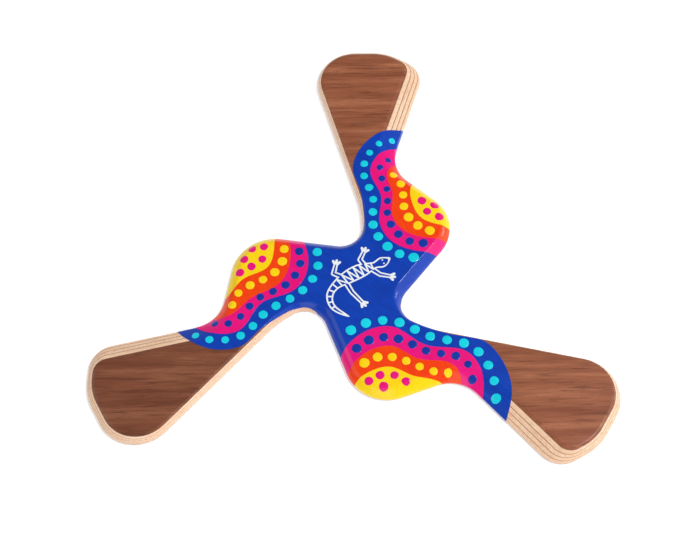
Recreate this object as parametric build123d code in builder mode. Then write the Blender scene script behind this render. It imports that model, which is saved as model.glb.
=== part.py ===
from build123d import *
import os
from math import atan2, cos, hypot, pi, sin
from random import Random

# A three-bladed throwing boomerang, cut from thin plywood and shaped on its upper side only.
#
# Frame: +Z up out of the decorated face, and the origin on the flat underside, at the centre of
# its three-fold turn. The first arm points along +Y, and the others follow anticlockwise. It is
# for the right hand and turns anticlockwise from above, so each arm's anticlockwise side is its
# blunt leading edge, and its clockwise side is its bevelled trailing edge. Sizes are in mm.

os.makedirs("parts", exist_ok=True)

# ---------------------------------------------------------------- driving dimensions
ARMS = 3
VENEER = 0.6            # face and back veneer, each
PLY = 0.88              # one core ply
GLUE = 0.12             # one glue line
PLIES = 5
BEVEL_ROUNDNESS = 2.0   # how much a narrow bevel rolls over; a wide one is nearly flat
BREAK = 0.8             # how far in the bevel's top edge is broken, to meet the face softly
BREAK_DEPTH = 0.15      # and how far down
BREAK_SHARPNESS = 8     # the higher, the closer to the top edge that softening stays
SANDED_EDGE = 0.35      # how far the lower edge is sanded back, over the back veneer's height
COAT = 0.12             # one coat of paint, with its varnish
DOT = 2.2               # radius of a dot in the clusters on the elbows
LINE = 0.8              # width of the lizard's white line

THICKNESS = 2 * VENEER + PLIES * PLY + (PLIES + 1) * GLUE
EDGE_HEIGHT = VENEER + PLY + 2 * GLUE   # blunt wall left all round, under the bevel
# Heights between which the bevel's profile runs straight: the middle and top of each ply above
# the blunt wall, the broken edge, and the top face.
PROFILE = [EDGE_HEIGHT]
for ply in range(1, PLIES):
    ply_bottom = EDGE_HEIGHT + (ply - 1) * (PLY + GLUE)
    PROFILE += [ply_bottom + PLY / 2, ply_bottom + PLY]
PROFILE += [THICKNESS - BREAK_DEPTH, THICKNESS]

# One arm's outline, clockwise from the bay at its leading side. Each corner has its place, the
# radius that rounds it, and the width of the bevel along the straight that follows it.
ARM_CORNERS = [
    (4.4, 20.8, 11.4, 2.8),      # bay
    (2.6, 44.3, 60.0, 2.6),      # root, where the leading edge turns a little outwards
    (-27.9, 142.8, 20.0, 4.6),   # leading corner of the tip
    (16.4, 142.2, 28.0, 4.6),    # end of the tip
    (36.9, 129.9, 13.1, 10.3),   # trailing corner of the tip
    (17.4, 68.2, 17.7, 4.9),     # neck
    (55.6, 35.7, 21.0, 4.9),     # elbow
]


def turned(x, y, arm):
    """A point of the first arm, as it lies on the arm of that number."""
    angle = arm * 2 * pi / ARMS
    return x * cos(angle) - y * sin(angle), x * sin(angle) + y * cos(angle)


def outline_corners():
    """All corners, clockwise: x, y, radius and the bevel width of the straight that follows."""
    corners = []
    for arm in range(ARMS):
        for x, y, radius, bevel in ARM_CORNERS:
            corners.append((*turned(x, y, -arm), radius, bevel))
    return corners


OUTLINE = outline_corners()


def bevel_curve(bevel, z):
    """The bevel's smooth profile: how far it has drawn in at height z, above the blunt wall."""
    rise = (z - EDGE_HEIGHT) / (THICKNESS - EDGE_HEIGHT)
    softened = 1 - max(0, 1 - rise ** BREAK_SHARPNESS) ** 0.5
    return (bevel - BREAK) * rise ** (1 + BEVEL_ROUNDNESS / bevel) + BREAK * softened


def bevel_inset(bevel, z):
    """How far the surface has drawn in from the outline at height z.

    It follows the smooth profile in short straights between the profile heights, so that every
    ply, veneer, glue line and coat of paint lies on the same faces.
    """
    if z < VENEER:
        return SANDED_EDGE * (1 - z / VENEER) ** 2
    for low, high in zip(PROFILE, PROFILE[1:]):
        if low < z <= high:
            share = (z - low) / (high - low)
            return (1 - share) * bevel_curve(bevel, low) + share * bevel_curve(bevel, high)
    return 0.0


def section_at(z, grown=0.0):
    """Corners and radii of the section at height z, grown outwards by a little for a coat."""
    sides = []
    for index, (x, y, _, bevel) in enumerate(OUTLINE):
        end_x, end_y = OUTLINE[(index + 1) % len(OUTLINE)][:2]
        length = hypot(end_x - x, end_y - y)
        along = ((end_x - x) / length, (end_y - y) / length)
        inset = bevel_inset(bevel, z) - grown
        start = (x + along[1] * inset, y - along[0] * inset)
        sides.append((start, along, inset))
    points = []
    radii = []
    for index, corner in enumerate(OUTLINE):
        (x0, y0), (ax, ay), inset_in = sides[index - 1]
        (x1, y1), (bx, by), inset_out = sides[index]
        turn = ax * by - ay * bx
        reach = ((x1 - x0) * by - (y1 - y0) * bx) / turn
        points.append((x0 + ax * reach, y0 + ay * reach))
        mean_inset = (inset_in + inset_out) / 2
        radii.append(corner[2] + mean_inset if turn > 0 else corner[2] - mean_inset)
    return points, radii


def section(z, lift=0.0, grown=0.0):
    """The face cut at height z. A coat of paint has it grown outwards and lifted a little."""
    points, radii = section_at(z, grown)
    with BuildSketch(Plane.XY.offset(z + lift)) as cut:
        with BuildLine():
            FilletPolyline(*points, radius=radii, close=True)
        make_face()
    return cut.sketch


def shaped(heights, coats=0):
    """The shaped blank between the heights given, swollen by a number of coats of paint."""
    grown = coats * COAT
    with BuildPart() as body:
        loft([section(z, grown, grown) for z in heights], ruled=True)
    return body.part


def finish(body, name):
    """Name a finished piece and write it."""
    body.label = name
    export_step(body, f"parts/{name}.step")


# ---------------------------------------------------------------- plywood, from the underside up
layers = [("back_veneer", VENEER), ("glue_line_1", GLUE)]
for number in range(1, PLIES + 1):
    layers += [(f"core_ply_{number}", PLY), (f"glue_line_{number + 1}", GLUE)]
layers.append(("face_veneer", VENEER))

height = 0.0
for layer_name, layer_thickness in layers:
    top = height + layer_thickness
    breaks = [z for z in (VENEER / 2, *PROFILE) if height + GLUE / 2 < z < top - GLUE / 2]
    with BuildPart() as layer:
        loft([section(z) for z in (height, *breaks, top)], ruled=True)
    finish(layer.part, layer_name)
    height = top

# ---------------------------------------------------------------- coats of paint
# Each coat is a thin shell over the one below, and starts above the back veneer.
coat_heights = [VENEER, *PROFILE]
blank = shaped([0, *coat_heights])
swollen = [blank] + [shaped(coat_heights, coats) for coats in (1, 2, 3)]
ground_shell, band_shell, dot_shell = (swollen[coats + 1] - swollen[coats] for coats in range(3))

# The ground coat stops short of the leading edge, whose wall stays bare wood. These points run
# from the bay to where the coat ends on the blade, on the first arm.
LEADING_LIMIT = [(-13.0, 23.4), (-5.0, 23.5), (1.0, 26.4), (4.0, 34.0), (3.6, 43.0), (1.4, 55.5)]

# Hand-painted edges on each arm, drawn on the first arm's axes. Each runs from the leading side
# or the tip side, round to the trailing side, and ends past the wood.
GROUND_EDGE = [
    [(-1.6, 65.0), (-0.3, 73.3), (5.6, 82.8), (14.0, 89.0), (23.5, 91.4), (32.0, 94.0)],
    [(-1.0, 63.5), (1.0, 72.5), (5.2, 78.9), (12.5, 84.6), (21.3, 88.0), (32.0, 89.0)],
    [(-2.9, 69.4), (-0.5, 78.5), (4.1, 85.6), (12.0, 92.8), (24.0, 97.2), (34.0, 99.0)],
]
MAGENTA_EDGE = [
    [(28.0, 80.5), (20.8, 80.0), (10.8, 73.3), (7.5, 63.5), (12.8, 50.0), (11.9, 35.5),
     (18.0, 23.2), (30.8, 17.4), (48.0, 16.7)],
    [(28.0, 80.0), (19.1, 78.9), (10.8, 72.4), (6.9, 61.8), (14.2, 46.0), (12.2, 30.0),
     (17.8, 18.2), (30.0, 11.8), (46.0, 10.6)],
    [(30.0, 84.5), (22.2, 82.8), (11.9, 76.7), (6.2, 65.0), (12.8, 46.5), (12.2, 28.0),
     (20.8, 17.4), (32.0, 13.3), (46.0, 13.8)],
]
ORANGE_EDGE = [
    [(26.0, 71.5), (19.1, 68.6), (16.0, 61.5), (18.6, 52.0), (18.4, 38.5), (25.0, 28.6),
     (36.3, 24.6), (54.0, 23.4)],
    [(26.0, 73.0), (18.6, 68.6), (16.4, 61.0), (19.2, 49.5), (19.0, 34.5), (24.5, 24.8),
     (35.2, 18.0), (50.0, 12.5)],
    [(27.0, 70.0), (19.6, 69.8), (15.4, 62.5), (20.8, 46.9), (21.0, 33.6), (28.0, 24.6),
     (38.0, 20.8), (50.0, 21.5)],
]
YELLOW_EDGE = [
    [(32.0, 61.0), (28.2, 54.7), (28.9, 44.6), (33.0, 36.6), (42.0, 32.3), (54.0, 30.0)],
    [(28.0, 64.0), (27.2, 57.4), (30.6, 47.5), (30.2, 34.0), (37.4, 26.3), (50.0, 19.5)],
    [(26.0, 70.0), (25.2, 61.5), (29.9, 49.0), (31.0, 37.8), (38.5, 29.6), (54.0, 25.0)],
]
# Rounds the elbow outside the wood, to close a painted area.
ELBOW_SIDE = [(70.0, 15.0), (62.0, 80.0)]
# Closes the ground coat: down the trailing side outside the wood, and back over the hub.
TRAILING_SIDE = [(62.0, 60.0), (62.0, 30.0), (36.0, -4.0), (0.0, 0.0)]


def area_on_arm(arm, curve, corners):
    """A painted area: a smooth hand-drawn edge, closed by straights through the corners."""
    points = [turned(*point, arm) for point in curve]
    closing = [turned(*point, arm) for point in corners]
    with BuildSketch() as area:
        with BuildLine():
            Spline(*points)
            Polyline(points[-1], *closing, points[0])
        make_face()
    return area.sketch


def coat_piece(shell, area):
    """The part of a shell of paint that lies over an area."""
    with BuildPart() as piece:
        add(shell)
        extrude(area, amount=2 * THICKNESS, mode=Mode.INTERSECT)
    return piece.part


with BuildSketch() as ground_area:
    for arm in range(ARMS):
        add(area_on_arm(arm, LEADING_LIMIT + GROUND_EDGE[arm], TRAILING_SIDE))
finish(coat_piece(ground_shell, ground_area.sketch), "blue_ground_coat")

# Dots, all on the first arm's axes: how many there are in each row, the radius of the first and
# the last, and the line they follow.
CYAN_ROWS = [
    (13, 1.6, 2.65,
     [(18.8, 84.2), (8.6, 77.8), (3.9, 63.2), (8.7, 48.6), (8.6, 33.0), (15.4, 20.6), (28.9, 13.6)]),
    (12, 1.9, 2.45,
     [(16.1, 81.9), (6.3, 71.7), (4.1, 60.0), (8.6, 47.0), (9.2, 30.0), (12.7, 18.0), (24.9, 8.2)]),
    (12, 2.25, 2.55,
     [(20.0, 88.7), (8.6, 79.2), (2.6, 66.0), (7.6, 47.0), (8.6, 29.4), (16.7, 15.4), (23.8, 10.8)]),
]
DARK_BLUE_ROWS = [
    (10, 1.7, 2.4,
     [(16.7, 71.9), (12.2, 63.5), (15.8, 53.9), (16.0, 39.4), (21.3, 27.2), (33.9, 21.6)]),
    (10, 1.9, 2.3,
     [(16.9, 70.8), (12.3, 62.0), (17.2, 46.6), (16.6, 33.0), (20.5, 22.0), (29.9, 15.8)]),
    (10, 2.0, 2.5,
     [(16.9, 74.4), (10.6, 63.5), (15.2, 49.3), (16.0, 36.0), (23.0, 22.1), (30.8, 18.2)]),
]
YELLOW_ROWS = [
    (7, 2.1, 2.6, [(19.4, 62.1), (24.2, 50.0), (25.0, 40.5), (31.0, 32.1), (37.4, 28.8)]),
    (7, 2.1, 2.4, [(20.8, 58.9), (25.8, 46.3), (25.4, 34.0), (29.1, 26.1), (35.0, 21.7)]),
    (7, 2.0, 2.4, [(20.0, 62.8), (24.1, 51.0), (25.4, 38.5), (29.1, 30.2), (35.6, 25.2)]),
]
# Loose clusters on the elbows.
MAGENTA_DOTS = [
    [(33.8, 46.3), (40.2, 43.8), (36.3, 40.0), (42.4, 36.9)],
    [(34.7, 47.2), (40.2, 41.9), (34.7, 40.6), (43.4, 35.6), (35.6, 33.9), (41.3, 29.9)],
    [(34.1, 47.4), (34.1, 41.1), (41.6, 39.3), (37.4, 35.0), (42.6, 31.8)],
]


def row_of_dots(count, first_radius, last_radius, points):
    """Evenly spaced dots along the smooth line through the points: x, y and radius of each."""
    with BuildLine() as row:
        Spline(*points)
    dots = []
    for index in range(count):
        share = index / (count - 1)
        place = row.line @ share
        dots.append((place.X, place.Y, first_radius + (last_radius - first_radius) * share))
    return dots


def dots_on_arm(arm, places, inside=None, outside=None):
    """Round dots, a little uneven in size, trimmed to their band or clear of another."""
    with BuildSketch() as dots:
        for x, y, radius in places:
            with Locations(turned(x, y, arm)):
                Circle(radius * brush.uniform(0.94, 1.05))
        if inside:
            add(inside, mode=Mode.INTERSECT)
        if outside:
            add(outside, mode=Mode.SUBTRACT)
    return dots.sketch


brush = Random(5)
for arm in range(ARMS):
    magenta_area, orange_area, yellow_area = (
        area_on_arm(arm, edges[arm], ELBOW_SIDE) for edges in (MAGENTA_EDGE, ORANGE_EDGE, YELLOW_EDGE)
    )
    magenta_band = magenta_area - orange_area
    orange_band = orange_area - yellow_area
    on_arm = f"arm_{arm + 1}"
    finish(coat_piece(band_shell, magenta_band), f"magenta_band_{on_arm}")
    finish(coat_piece(band_shell, orange_band), f"orange_band_{on_arm}")
    finish(coat_piece(band_shell, yellow_area), f"yellow_band_{on_arm}")

    cyan = dots_on_arm(arm, row_of_dots(*CYAN_ROWS[arm]), outside=magenta_area)
    dark_blue = dots_on_arm(arm, row_of_dots(*DARK_BLUE_ROWS[arm]), inside=magenta_band)
    yellow = dots_on_arm(arm, row_of_dots(*YELLOW_ROWS[arm]), inside=orange_band)
    magenta = dots_on_arm(arm, [(x, y, DOT) for x, y in MAGENTA_DOTS[arm]], inside=yellow_area)
    finish(coat_piece(band_shell, cyan), f"cyan_dots_{on_arm}")
    finish(coat_piece(dot_shell, dark_blue), f"dark_blue_dots_{on_arm}")
    finish(coat_piece(dot_shell, yellow), f"yellow_dots_{on_arm}")
    finish(coat_piece(dot_shell, magenta), f"magenta_dots_{on_arm}")

# ---------------------------------------------------------------- lizard in white line
# A plain lizard seen from above, on the ground coat. Each limb has a middle line, with half its
# width at each point. The drawing is the edge of the whole shape, with bars across its back and
# tail, and a zigzag between those on its back.
LIZARD_PLACE = (-0.6, -1.3)
LIZARD_BODY = [
    (17.9, 14.4, 0.0), (15.9, 13.5, 2.0), (13.2, 12.2, 2.9), (10.4, 11.0, 2.0), (6.6, 9.4, 3.0),
    (0.6, 6.7, 4.0), (-5.2, 3.2, 3.4), (-9.8, -0.6, 2.2), (-12.4, -5.6, 1.8), (-11.6, -10.6, 1.5),
    (-8.0, -14.4, 1.2), (-2.6, -17.4, 0.0),
]
LIZARD_LEGS = [
    [(5.0, 10.6, 1.5), (2.6, 14.0, 1.3), (4.4, 18.2, 1.1)],
    [(8.6, 8.6, 1.5), (12.6, 5.6, 1.3), (17.4, 4.6, 1.1)],
    [(-6.2, 4.4, 1.5), (-10.6, 6.4, 1.3), (-9.6, 11.2, 1.1)],
    [(-4.6, 1.8, 1.5), (-1.4, -4.0, 1.3), (3.6, -9.6, 1.1)],
]
TOES = 3
TOE_SPREAD = 42 * pi / 180
TOE_LENGTH = 2.6
TOE_ROOT = 0.9
TOE_TIP = 0.62
TAIL_LEAST = 0.2        # the tail and feet are filled in where their inside would be narrower
BACK_BARS = [(12.0, 11.7, 1.7), (8.6, 10.3, 1.9), (6.1, 9.2, 2.6), (3.4, 8.0, 3.1), (0.6, 6.7, 3.4),
             (-2.2, 5.1, 3.2), (-5.0, 3.3, 2.8), (-7.6, 1.3, 2.2), (-9.8, -0.6, 1.7), (-11.6, -3.2, 1.5),
             (-12.3, -6.3, 1.3), (-12.0, -9.4, 1.2), (-10.4, -12.2, 1.0), (-8.0, -14.4, 0.8)]
ZIGZAG_LEAST = 1.8      # the zigzag keeps to where the bars are at least this long, from the middle
EYES = [(13.8, 13.7), (14.6, 11.8)]


def sides_of(limb):
    """Points up one side of a limb and back down the other, between its two end points."""
    left = []
    right = []
    for index, (x, y, half) in enumerate(limb):
        x0, y0, _ = limb[max(index - 1, 0)]
        x1, y1, _ = limb[min(index + 1, len(limb) - 1)]
        length = hypot(x1 - x0, y1 - y0)
        across = (-(y1 - y0) / length * half, (x1 - x0) / length * half)
        left.append((x + across[0], y + across[1]))
        right.append((x - across[0], y - across[1]))
    return left + right[-2:0:-1]


def link(start, end):
    """One straight length of a limb, with round ends: x, y and half width at each end."""
    with BuildSketch() as filled:
        for x, y, half in (start, end):
            with Locations((x, y)):
                Circle(half)
        make_hull()
    return filled.sketch


def between(start, end, share):
    """A pointed end for a limb, part of the way from one of its points to the next."""
    return tuple(a + (b - a) * share for a, b in zip(start[:2], end[:2])) + (0.0,)


def narrowed(limb):
    """A limb drawn inside itself, one line width in from its sides."""
    return [(x, y, half - LINE) for x, y, half in limb if half > LINE + TAIL_LEAST]


with BuildSketch() as lizard_shape:
    with BuildLine():
        Spline(*sides_of(LIZARD_BODY), periodic=True)
    make_face()
    for leg in LIZARD_LEGS:
        for start, end in zip(leg, leg[1:]):
            add(link(start, end))
        knee, foot = leg[-2], leg[-1]
        pointing = atan2(foot[1] - knee[1], foot[0] - knee[0])
        for toe in range(TOES):
            aim = pointing + TOE_SPREAD * (toe - (TOES - 1) / 2)
            tip = (foot[0] + TOE_LENGTH * cos(aim), foot[1] + TOE_LENGTH * sin(aim), TOE_TIP)
            add(link((foot[0], foot[1], TOE_ROOT), tip))

with BuildSketch() as lizard_inside:
    nose = between(LIZARD_BODY[0], LIZARD_BODY[1], 0.6)
    tail_end = between(LIZARD_BODY[-2], LIZARD_BODY[-1], 0.45)
    with BuildLine():
        Spline(*sides_of([nose, *narrowed(LIZARD_BODY), tail_end]), periodic=True)
    make_face()
    for leg in LIZARD_LEGS:
        for start, end in zip(narrowed(leg), narrowed(leg)[1:]):
            add(link(start, end))

bar_ends = []
for before, bar, after in zip(BACK_BARS, BACK_BARS[1:], BACK_BARS[2:]):
    x, y, half = bar
    along = atan2(after[1] - before[1], after[0] - before[0])
    reach = (-sin(along) * half, cos(along) * half)
    ends = ((x + reach[0], y + reach[1], LINE / 2), (x - reach[0], y - reach[1], LINE / 2))
    bar_ends.append((ends, half))

with BuildPart() as lizard:
    with BuildSketch(Plane((*LIZARD_PLACE, THICKNESS + COAT))):
        add(lizard_shape.sketch)
        add(lizard_inside.sketch, mode=Mode.SUBTRACT)
        for ends, _ in bar_ends:
            add(link(*ends))
        for (ends, half), (next_ends, next_half) in zip(bar_ends, bar_ends[1:]):
            if min(half, next_half) >= ZIGZAG_LEAST:
                add(link(ends[0], next_ends[1]))
        with Locations(*EYES):
            Circle(LINE / 2)
    extrude(amount=COAT)
finish(lizard.part, "white_lizard_drawing")
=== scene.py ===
import math

import bmesh
import bpy
from mathutils import Matrix, Vector


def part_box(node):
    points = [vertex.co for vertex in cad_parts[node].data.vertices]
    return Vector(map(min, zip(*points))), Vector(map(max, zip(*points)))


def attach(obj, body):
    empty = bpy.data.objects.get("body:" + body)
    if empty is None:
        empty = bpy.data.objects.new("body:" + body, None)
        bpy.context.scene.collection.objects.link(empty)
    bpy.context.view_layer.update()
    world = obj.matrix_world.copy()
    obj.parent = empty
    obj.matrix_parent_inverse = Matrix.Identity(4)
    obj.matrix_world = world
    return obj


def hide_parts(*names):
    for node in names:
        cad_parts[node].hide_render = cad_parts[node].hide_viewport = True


# A three-bladed plywood boomerang, painted by hand and varnished. It lies on its flat underside,
# with its first arm along +Y, on a pale studio floor. Everything here is in metres.

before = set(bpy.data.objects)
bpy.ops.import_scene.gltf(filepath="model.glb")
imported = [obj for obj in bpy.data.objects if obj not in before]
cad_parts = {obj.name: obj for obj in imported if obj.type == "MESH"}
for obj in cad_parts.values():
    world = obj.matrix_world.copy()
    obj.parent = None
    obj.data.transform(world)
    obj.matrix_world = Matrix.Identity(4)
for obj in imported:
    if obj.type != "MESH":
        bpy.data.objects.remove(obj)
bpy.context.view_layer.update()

MM = 0.001
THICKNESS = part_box("face_veneer")[1].z

# ---------------------------------------------------------------- camera
VIEW_TILT = math.radians(26.32)      # from straight above, towards the viewer
VIEW_TURN = math.radians(3.65)       # round to the right
VIEW_DISTANCE = 664 * MM
LENS = 68.3
FRAMING = (-0.0089, 0.0149)


def make_camera():
    """Looks down at the boomerang from a little in front of it."""
    toward = Vector((math.sin(VIEW_TILT) * math.sin(VIEW_TURN),
                     -math.sin(VIEW_TILT) * math.cos(VIEW_TURN),
                     math.cos(VIEW_TILT)))
    right = Vector((0, 1, 0)).cross(toward).normalized()
    data = bpy.data.cameras.new("camera")
    data.lens = LENS
    data.shift_x, data.shift_y = FRAMING
    camera = bpy.data.objects.new("camera", data)
    bpy.context.scene.collection.objects.link(camera)
    turn = Matrix((right, toward.cross(right), toward)).transposed()
    place = toward * VIEW_DISTANCE + Vector((0, 0, THICKNESS / 2))
    camera.matrix_world = Matrix.Translation(place) @ turn.to_4x4()
    bpy.context.scene.camera = camera


make_camera()


# ---------------------------------------------------------------- nodes
def linear(code):
    """An sRGB hex colour as linear red, green, blue and alpha."""
    parts = [int(code[i:i + 2], 16) / 255 for i in (1, 3, 5)]
    return (*(c / 12.92 if c <= 0.04045 else ((c + 0.055) / 1.055) ** 2.4 for c in parts), 1.0)


def add(tree, kind, inputs=None, stops=(), **settings):
    """Adds a node with its settings, its colour stops, and values or sockets for its inputs."""
    node = tree.nodes.new(kind)
    for name, value in settings.items():
        setattr(node, name, value)
    for name, value in (inputs or {}).items():
        if isinstance(value, bpy.types.NodeSocket):
            tree.links.new(value, node.inputs[name])
        else:
            node.inputs[name].default_value = value
    for index, (place, code) in enumerate(stops):
        elements = node.color_ramp.elements
        element = elements[index] if index < len(elements) else elements.new(place)
        element.position = place
        element.color = linear(code)
    return node


def streaks(tree, along, across, turn=0.0, detail=4.0, roughness=0.55, distortion=0.0, shift=0.0):
    """Noise drawn out along the grain: how long and how wide a streak is, in millimetres."""
    place = add(tree, "ShaderNodeTexCoord").outputs["Object"]
    laid = add(tree, "ShaderNodeMapping", {
        "Vector": place, "Rotation": (0, 0, turn), "Location": (shift, shift, 0)})
    drawn = add(tree, "ShaderNodeMapping", {
        "Vector": laid.outputs["Vector"],
        "Scale": (1 / (along * MM), 1 / (across * MM), 1 / (across * MM))})
    return add(tree, "ShaderNodeTexNoise", {
        "Vector": drawn.outputs["Vector"], "Scale": 1.0, "Detail": detail,
        "Roughness": roughness, "Distortion": distortion}).outputs["Fac"]


def material(name, fill):
    """A material whose nodes are laid by fill(tree, shader)."""
    made = bpy.data.materials.new(name)
    made.use_nodes = True
    tree = made.node_tree
    tree.nodes.clear()
    shader = add(tree, "ShaderNodeBsdfPrincipled")
    add(tree, "ShaderNodeOutputMaterial", {"Surface": shader.outputs["BSDF"]})
    fill(tree, shader)
    return made


def finish(tree, shader, colour, relief, depth, **values):
    """Gives a shader its colour, its relief with a depth in millimetres, and its own values."""
    bump = add(tree, "ShaderNodeBump", {"Height": relief, "Distance": depth * MM, "Strength": 0.5})
    tree.links.new(colour, shader.inputs["Base Color"])
    tree.links.new(bump.outputs["Normal"], shader.inputs["Normal"])
    for name, value in values.items():
        shader.inputs[name.replace("_", " ")].default_value = value


# ---------------------------------------------------------------- wood
def walnut_veneer(tree, shader):
    """Sliced walnut, sanded and varnished.

    The eye gets dark and light ribbons along X, patches of warmer wood, broken dark streaks and
    short open pores. The pores are 0.34 mm wide, twice the real ones, so that they show.
    """
    ribbons = streaks(tree, 60, 5.5, detail=5, distortion=0.5)
    warmth = streaks(tree, 38, 11, detail=3, shift=0.31)
    heart = streaks(tree, 20, 1.1, detail=4, distortion=0.4, shift=0.12)
    threads = streaks(tree, 13, 0.5, detail=5, roughness=0.65)
    pores = streaks(tree, 4.5, 0.34, detail=2)
    ribbon_colour = add(tree, "ShaderNodeValToRGB", {"Fac": ribbons}, stops=(
        (0.34, "#84482E"), (0.45, "#935539"), (0.54, "#9D5D3F"), (0.66, "#AE6D4D")))
    warm = add(tree, "ShaderNodeMapRange", {
        "Value": warmth, "From Min": 0.45, "From Max": 0.65, "To Max": 0.55})
    warmed = add(tree, "ShaderNodeMix", {
        0: warm.outputs["Result"], 6: ribbon_colour.outputs["Color"], 7: linear("#97553A")},
        data_type="RGBA")
    streak = add(tree, "ShaderNodeMapRange", {
        "Value": heart, "From Min": 0.56, "From Max": 0.67, "To Max": 0.62})
    streaked = add(tree, "ShaderNodeMix", {
        0: streak.outputs["Result"], 6: warmed.outputs[2], 7: linear("#623423")}, data_type="RGBA")
    pore = add(tree, "ShaderNodeMapRange", {
        "Value": pores, "From Min": 0.60, "From Max": 0.72, "To Max": 0.45})
    pored = add(tree, "ShaderNodeMix", {
        0: pore.outputs["Result"], 6: streaked.outputs[2], 7: linear("#552C1C")}, data_type="RGBA")

    # Painted shade: the veneer is darker towards its left end, standing in for the light from the right
    # falling off.
    place = add(tree, "ShaderNodeTexCoord").outputs["Object"]
    across_sheet = add(tree, "ShaderNodeSeparateXYZ", {"Vector": place}).outputs["X"]
    painted_shade_left = add(tree, "ShaderNodeMapRange", {
        "Value": across_sheet, "From Min": -60 * MM, "From Max": -15 * MM, "To Min": 0.68})
    thread = add(tree, "ShaderNodeMapRange", {
        "Value": threads, "From Min": 0.35, "From Max": 0.65, "To Min": 0.84, "To Max": 1.14})
    light = add(tree, "ShaderNodeMath", {
        0: thread.outputs["Result"], 1: painted_shade_left.outputs["Result"]}, operation="MULTIPLY")
    colour = add(tree, "ShaderNodeHueSaturation", {
        "Color": pored.outputs[2], "Value": light.outputs[0]})
    relief = add(tree, "ShaderNodeMath", {0: threads, 1: pore.outputs["Result"]}, operation="SUBTRACT")
    finish(tree, shader, colour.outputs["Color"], relief.outputs[0], 0.03,
           Roughness=0.46, IOR=1.5, Specular_IOR_Level=0.25,
           Coat_Weight=0.28, Coat_Roughness=0.2, Coat_IOR=1.5)


def birch_ply(turn, tone):
    """Rotary-cut birch, sanded to a feather edge and varnished.

    The eye gets pale wood, faintly streaked along its grain.
    """
    def fill(tree, shader):
        grain = streaks(tree, 34, 0.9, turn, detail=5, roughness=0.6)
        broad = streaks(tree, 90, 12, turn, detail=2)
        pale = add(tree, "ShaderNodeValToRGB", {"Fac": grain}, stops=(
            (0.32, "#E6B892"), (0.48, "#F4CCAA"), (0.68, "#FFDFC4")))
        toning = add(tree, "ShaderNodeMapRange", {
            "Value": broad, "From Min": 0.35, "From Max": 0.65, "To Max": 0.4})
        toned = add(tree, "ShaderNodeMix", {
            0: toning.outputs["Result"], 6: pale.outputs["Color"], 7: linear(tone)}, data_type="RGBA")
        finish(tree, shader, toned.outputs[2], grain, 0.025,
               Roughness=0.5, IOR=1.5, Specular_IOR_Level=0.35,
               Coat_Weight=0.35, Coat_Roughness=0.24, Coat_IOR=1.5)
    return fill


def phenolic_glue(tree, shader):
    """Phenolic resin set in a thin line: brown, and uneven where the wood drank it."""
    uneven = streaks(tree, 9, 2.5, detail=4)
    colour = add(tree, "ShaderNodeValToRGB", {"Fac": uneven}, stops=(
        (0.35, "#583622"), (0.5, "#784C32"), (0.65, "#986A4C")))
    finish(tree, shader, colour.outputs["Color"], uneven, 0.02,
           Roughness=0.5, IOR=1.55, Coat_Weight=0.35, Coat_Roughness=0.24, Coat_IOR=1.5)


# ---------------------------------------------------------------- paint
def acrylic(thick, thin, turn=0.0):
    """Brushed acrylic under gloss varnish: faint brush tracks, and a little thinner between them.

    The tracks are 0.8 mm apart, about three times a real brush's, so that they show.
    """
    def fill(tree, shader):
        tracks = streaks(tree, 14, 0.8, turn, detail=3, distortion=0.4)
        pooled = streaks(tree, 11, 8, turn, detail=2)
        cover = add(tree, "ShaderNodeMath", {0: tracks, 1: pooled}, operation="ADD")
        thinness = add(tree, "ShaderNodeMapRange", {
            "Value": cover.outputs[0], "From Min": 0.75, "From Max": 1.3})
        colour = add(tree, "ShaderNodeMix", {
            0: thinness.outputs["Result"], 6: linear(thick), 7: linear(thin)}, data_type="RGBA")
        finish(tree, shader, colour.outputs[2], cover.outputs[0], 0.015,
               Roughness=0.45, IOR=1.47, Specular_IOR_Level=0.15,
               Coat_Weight=0.55, Coat_Roughness=0.12, Coat_IOR=1.47)
    return fill


materials = {
    "veneer": material("varnished_walnut_veneer", walnut_veneer),
    "long_ply": material("birch_ply_long_grain", birch_ply(0.0, "#F0C29E")),
    "cross_ply": material("birch_ply_cross_grain", birch_ply(math.pi / 2, "#E6B490")),
    "glue": material("phenolic_glue_line", phenolic_glue),
    "blue": material("ultramarine_acrylic", acrylic("#0038A8", "#0242B8", 0.6)),
    "dark_blue": material("navy_acrylic", acrylic("#04319A", "#0A3CA8")),
    "cyan": material("turquoise_acrylic", acrylic("#00CCDE", "#14DCEC")),
    "magenta": material("magenta_acrylic", acrylic("#E80078", "#F01084", 1.0)),
    "orange": material("vermilion_acrylic", acrylic("#F43800", "#FA4A04", 1.2)),
    "yellow": material("golden_yellow_acrylic", acrylic("#FFD200", "#FFDE14", 1.1)),
    "white": material("white_line_acrylic", acrylic("#E6EEF4", "#F4F8FA")),
}


def paint_of(name):
    """The material of a CAD node, by its name."""
    if name.endswith("_veneer"):
        return "veneer"
    if name.startswith("core_ply"):
        return "long_ply" if int(name[-1]) % 2 else "cross_ply"
    if name.startswith("glue_line"):
        return "glue"
    if name.startswith("dark_blue"):
        return "dark_blue"
    return name.split("_")[0]


CRISP_ANGLE = 38                     # an edge that turns further than this stays crisp


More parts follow.
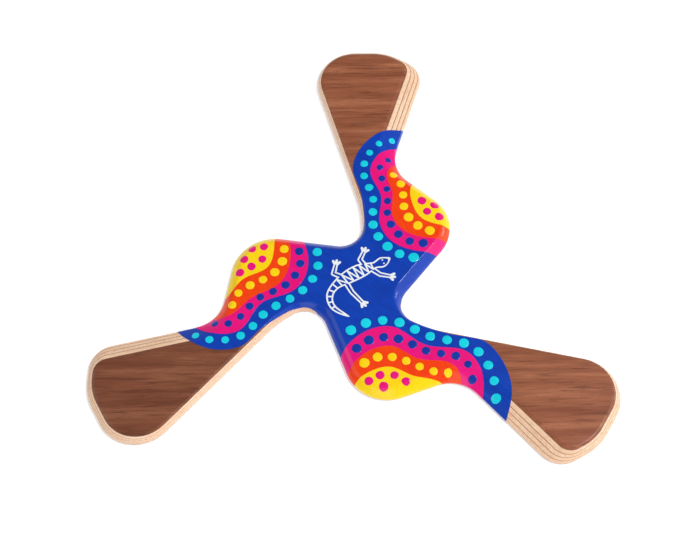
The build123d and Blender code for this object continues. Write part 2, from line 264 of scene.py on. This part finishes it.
def smooth_shading_tree():
    """Joins a node's loose triangles for shading, and keeps its real edges crisp."""
    tree = bpy.data.node_groups.new("smooth_shading", "GeometryNodeTree")
    tree.interface.new_socket("Geometry", in_out="INPUT", socket_type="NodeSocketGeometry")
    tree.interface.new_socket("Geometry", in_out="OUTPUT", socket_type="NodeSocketGeometry")
    begin = add(tree, "NodeGroupInput")
    merged = add(tree, "GeometryNodeMergeByDistance", {
        "Geometry": begin.outputs["Geometry"], "Distance": 0.002 * MM})
    angle = add(tree, "GeometryNodeInputMeshEdgeAngle").outputs["Unsigned Angle"]
    soft = add(tree, "FunctionNodeCompare", {"A": angle, "B": math.radians(CRISP_ANGLE)},
               data_type="FLOAT", operation="LESS_THAN").outputs["Result"]
    faces = add(tree, "GeometryNodeSetShadeSmooth", {
        "Geometry": merged.outputs["Geometry"], "Shade Smooth": True}, domain="FACE")
    edges = add(tree, "GeometryNodeSetShadeSmooth", {
        "Geometry": faces.outputs["Geometry"], "Shade Smooth": soft}, domain="EDGE")
    add(tree, "NodeGroupOutput", {"Geometry": edges.outputs["Geometry"]})
    return tree


smooth_shading = smooth_shading_tree()
for name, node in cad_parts.items():
    node.data.materials.clear()
    node.data.materials.append(materials[paint_of(name)])
    shading = node.modifiers.new("shading", "NODES")
    shading.node_group = smooth_shading
    broad_faces_flat = node.modifiers.new("broad_faces_flat", "WEIGHTED_NORMAL")
    broad_faces_flat.keep_sharp = True


# ---------------------------------------------------------------- painted dots
DOT_RISE = 0.16 * MM                 # how far a drop of paint stands over the coat below
DOT_WOBBLE = 0.035                   # unevenness of its rim
WOBBLE_REACH = 15 * MM               # the width the rim would wander over at a wobble of 1
WOBBLE_SCALE = 420.0                 # the wander repeats about every 2.4 mm
RAY_HEIGHT = 5 * MM                  # points start this far above the face
RAY_LENGTH = 50 * MM
DROP_SEGMENTS = 32
DROP_RINGS = 12


def plain_copy(names, made_name):
    """The named CAD nodes' meshes, copied and merged into one temporary object."""
    merged = bmesh.new()
    for name in names:
        merged.from_mesh(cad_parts[name].data)
    bmesh.ops.remove_doubles(merged, verts=merged.verts, dist=0.002 * MM)
    mesh = bpy.data.meshes.new(made_name)
    merged.to_mesh(mesh)
    merged.free()
    made = bpy.data.objects.new(made_name, mesh)
    bpy.context.scene.collection.objects.link(made)
    return made


def dot_places(name):
    """The middle and radius of each separate dot in a CAD node."""
    work = bmesh.new()
    work.from_mesh(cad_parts[name].data)
    bmesh.ops.remove_doubles(work, verts=work.verts, dist=0.002 * MM)
    places = []
    waiting = set(work.verts)
    while waiting:
        seed = waiting.pop()
        island = [seed]
        for vert in island:
            for edge in vert.link_edges:
                other = edge.other_vert(vert)
                if other in waiting:
                    waiting.remove(other)
                    island.append(other)
        xs = [vert.co.x for vert in island]
        ys = [vert.co.y for vert in island]
        wide, deep = max(xs) - min(xs), max(ys) - min(ys)
        middle = ((max(xs) + min(xs)) / 2, (max(ys) + min(ys)) / 2, THICKNESS)
        places.append((middle, max(wide, deep) / 2))
    work.free()
    return sorted(places)


def painted_dots_tree():
    """Sets a drop of paint on every point, and lays it over the shaped surface below it."""
    tree = bpy.data.node_groups.new("painted_dots", "GeometryNodeTree")
    face = tree.interface
    face.new_socket("Places", in_out="INPUT", socket_type="NodeSocketGeometry")
    face.new_socket("Surface", in_out="INPUT", socket_type="NodeSocketObject")
    face.new_socket("Rise", in_out="INPUT", socket_type="NodeSocketFloat")
    face.new_socket("Wobble", in_out="INPUT", socket_type="NodeSocketFloat")
    face.new_socket("Seed", in_out="INPUT", socket_type="NodeSocketInt")
    face.new_socket("Paint", in_out="INPUT", socket_type="NodeSocketMaterial")
    face.new_socket("Dots", in_out="OUTPUT", socket_type="NodeSocketGeometry")
    begin = add(tree, "NodeGroupInput").outputs

    ball = add(tree, "GeometryNodeMeshUVSphere", {
        "Segments": DROP_SEGMENTS, "Rings": DROP_RINGS, "Radius": 1.0})
    shape = add(tree, "GeometryNodeInputPosition").outputs["Position"]
    kept = add(tree, "GeometryNodeStoreNamedAttribute", {
        "Geometry": ball.outputs["Mesh"], "Name": "drop", "Value": shape},
        data_type="FLOAT_VECTOR", domain="POINT")
    radius = add(tree, "GeometryNodeInputNamedAttribute", {"Name": "dot_radius"}, data_type="FLOAT")
    points = add(tree, "GeometryNodeMeshToPoints", {"Mesh": begin["Places"]})
    placed = add(tree, "GeometryNodeInstanceOnPoints", {
        "Points": points.outputs["Points"], "Instance": kept.outputs["Geometry"],
        "Scale": radius.outputs["Attribute"]})
    drops = add(tree, "GeometryNodeRealizeInstances", {"Geometry": placed.outputs["Instances"]})

    # The rim wanders a little, as a brush leaves it.
    drop = add(tree, "GeometryNodeInputNamedAttribute", {"Name": "drop"}, data_type="FLOAT_VECTOR")
    drop_axes = add(tree, "ShaderNodeSeparateXYZ", {"Vector": drop.outputs["Attribute"]}).outputs
    outward = add(tree, "ShaderNodeCombineXYZ", {
        "X": drop_axes["X"], "Y": drop_axes["Y"]}).outputs["Vector"]
    here = add(tree, "GeometryNodeInputPosition").outputs["Position"]
    wander = add(tree, "ShaderNodeTexNoise", {
        "Vector": here, "W": begin["Seed"], "Scale": WOBBLE_SCALE, "Detail": 1.0},
        noise_dimensions="4D").outputs["Fac"]
    centred = add(tree, "ShaderNodeMath", {0: wander, 1: 0.5}, operation="SUBTRACT").outputs[0]
    share = add(tree, "ShaderNodeMath", {
        0: centred, 1: begin["Wobble"]}, operation="MULTIPLY").outputs[0]
    reach = add(tree, "ShaderNodeMath", {0: share, 1: WOBBLE_REACH}, operation="MULTIPLY").outputs[0]
    nudge = add(tree, "ShaderNodeVectorMath", {
        0: outward, "Scale": reach}, operation="SCALE").outputs["Vector"]
    moved = add(tree, "ShaderNodeVectorMath", {0: here, 1: nudge}, operation="ADD").outputs["Vector"]
    axes = add(tree, "ShaderNodeSeparateXYZ", {"Vector": moved}).outputs

    # Each point drops onto the surface, or beside the wood closes on the nearest wall.
    above = add(tree, "ShaderNodeCombineXYZ", {
        "X": axes["X"], "Y": axes["Y"], "Z": THICKNESS + RAY_HEIGHT}).outputs["Vector"]
    beside = add(tree, "ShaderNodeCombineXYZ", {
        "X": axes["X"], "Y": axes["Y"], "Z": THICKNESS / 2}).outputs["Vector"]
    surface = add(tree, "GeometryNodeObjectInfo", {"Object": begin["Surface"]}).outputs["Geometry"]
    ray = add(tree, "GeometryNodeRaycast", {
        "Target Geometry": surface, "Source Position": above, "Ray Direction": (0, 0, -1),
        "Ray Length": RAY_LENGTH}).outputs
    near = add(tree, "GeometryNodeProximity", {
        0: surface, "Sample Position": beside}, target_element="FACES").outputs["Position"]
    lift = add(tree, "ShaderNodeMath", {
        0: drop_axes["Z"], 1: begin["Rise"]}, operation="MULTIPLY").outputs[0]
    raised = add(tree, "ShaderNodeCombineXYZ", {"Z": lift}).outputs["Vector"]
    on_top = add(tree, "ShaderNodeVectorMath", {
        0: ray["Hit Position"], 1: raised}, operation="ADD").outputs["Vector"]
    laid = add(tree, "GeometryNodeSwitch", {
        "Switch": ray["Is Hit"], "False": near, "True": on_top}, input_type="VECTOR").outputs["Output"]
    lying = add(tree, "GeometryNodeSetPosition", {"Geometry": drops.outputs["Geometry"], "Position": laid})
    rounded = add(tree, "GeometryNodeSetShadeSmooth", {
        "Geometry": lying.outputs["Geometry"], "Shade Smooth": True}, domain="FACE")
    realised = add(tree, "GeometryNodeRealizeInstances", {"Geometry": rounded.outputs["Geometry"]})
    painted = add(tree, "GeometryNodeSetMaterial", {
        "Geometry": realised.outputs["Geometry"], "Material": begin["Paint"]})
    add(tree, "NodeGroupOutput", {"Dots": painted.outputs["Geometry"]})
    return tree


def set_inputs(modifier, **values):
    """Sets a Geometry Nodes modifier's inputs, found by name and set by identifier."""
    for item in modifier.node_group.interface.items_tree:
        if item.in_out == "INPUT" and item.name in values:
            modifier[item.identifier] = values[item.name]


def plain_mesh(source, made_name):
    """The result of an object's modifiers, as a new object with a plain mesh."""
    bpy.context.view_layer.update()
    evaluated = source.evaluated_get(bpy.context.evaluated_depsgraph_get())
    mesh = bpy.data.meshes.new_from_object(evaluated)
    mesh.name = made_name
    made = bpy.data.objects.new(made_name, mesh)
    bpy.context.scene.collection.objects.link(made)
    bpy.data.objects.remove(source)
    return made


def paint_dots(tree, surface, name, seed):
    """Replaces one CAD row of dots with drops of paint in the same places."""
    places = dot_places(name)
    mesh = bpy.data.meshes.new("places")
    mesh.from_pydata([middle for middle, _ in places], [], [])
    radius = mesh.attributes.new("dot_radius", "FLOAT", "POINT")
    for item, (_, size) in zip(radius.data, places):
        item.value = size
    source = bpy.data.objects.new("places", mesh)
    bpy.context.scene.collection.objects.link(source)
    modifier = source.modifiers.new("dots", "NODES")
    modifier.node_group = tree
    paint = paint_of(name)
    set_inputs(modifier, Surface=surface, Rise=DOT_RISE, Wobble=DOT_WOBBLE, Seed=seed,
               Paint=materials[paint])
    dots = plain_mesh(source, name.replace("_dots_", "_paint_dots_"))
    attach(dots, "root")
    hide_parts(name)


rows = [name for name in sorted(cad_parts) if "_dots_" in name]
under_the_dots = sorted(set(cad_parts) - set(rows) - {"white_lizard_drawing"})
painted_surface = plain_copy(under_the_dots, "painted_surface")
dots_tree = painted_dots_tree()
for seed, name in enumerate(rows):
    paint_dots(dots_tree, painted_surface, name, seed)
bpy.data.objects.remove(painted_surface)

# ---------------------------------------------------------------- studio
FLOOR_SIZE = 3.0
FLOOR_GLOW = 0.3                     # the paper is lit from behind too, which softens shadows
WORLD_LIGHT = 0.15                   # how strongly the world lights the object
WORLD_SEEN = 1.0                     # and how bright the camera sees it


def make_floor():
    """A wide sheet of pale paper, just under the boomerang."""
    mesh = bpy.data.meshes.new("floor")
    half = FLOOR_SIZE / 2
    corners = [(-half, -half, 0), (half, -half, 0), (half, half, 0), (-half, half, 0)]
    mesh.from_pydata(corners, [], [(0, 1, 2, 3)])
    floor = bpy.data.objects.new("floor", mesh)
    bpy.context.scene.collection.objects.link(floor)

    def paper(tree, shader):
        """Matt white paper: a plain ground, with fibres that barely show."""
        fibres = streaks(tree, 2, 2, detail=2)
        colour = add(tree, "ShaderNodeValToRGB", {"Fac": fibres}, stops=(
            (0.3, "#FAFAFA"), (0.7, "#FDFDFD")))
        finish(tree, shader, colour.outputs["Color"], fibres, 0.02, Roughness=0.9, Specular_IOR_Level=0.1,
               Emission_Color=(1, 1, 1, 1), Emission_Strength=FLOOR_GLOW)
    mesh.materials.append(material("white_backdrop_paper", paper))


def softbox(name, place, size, power):
    """A square studio light at a place, facing the boomerang."""
    data = bpy.data.lights.new(name, "AREA")
    data.shape = "SQUARE"
    data.size = size
    data.energy = power
    light = bpy.data.objects.new(name, data)
    bpy.context.scene.collection.objects.link(light)
    light.location = place
    light.rotation_euler = (-Vector(place)).to_track_quat("-Z", "Y").to_euler()


def make_light():
    """A key light and a broad panel on the right, with weaker panels round the other sides.

    None stands where the flat painted face would mirror it into the camera. The world lights
    the object faintly, and the camera sees it as white beyond the floor.
    """
    world = bpy.data.worlds.new("studio")
    world.use_nodes = True
    background = world.node_tree.nodes["Background"]
    background.inputs["Color"].default_value = (1, 1, 1, 1)
    seen = add(world.node_tree, "ShaderNodeLightPath").outputs["Is Camera Ray"]
    strength = add(world.node_tree, "ShaderNodeMapRange", {
        "Value": seen, "To Min": WORLD_LIGHT, "To Max": WORLD_SEEN})
    world.node_tree.links.new(strength.outputs["Result"], background.inputs["Strength"])
    bpy.context.scene.world = world
    softbox("key_light", (0.7, 0.0, 1.4), 0.35, 12)
    softbox("corner_light", (1.36, 0.42, 0.48), 0.4, 4)
    softbox("right_panel", (2.0, -0.6, 0.75), 2.5, 19)
    softbox("front_panel", (-0.3, -1.7, 0.8), 1.6, 12)
    softbox("left_panel", (-1.2, 0.1, 0.9), 1.1, 5)
    softbox("back_panel", (-0.6, 1.5, 0.55), 1.8, 2)
    bpy.context.scene.view_settings.view_transform = "Standard"


make_floor()
make_light()
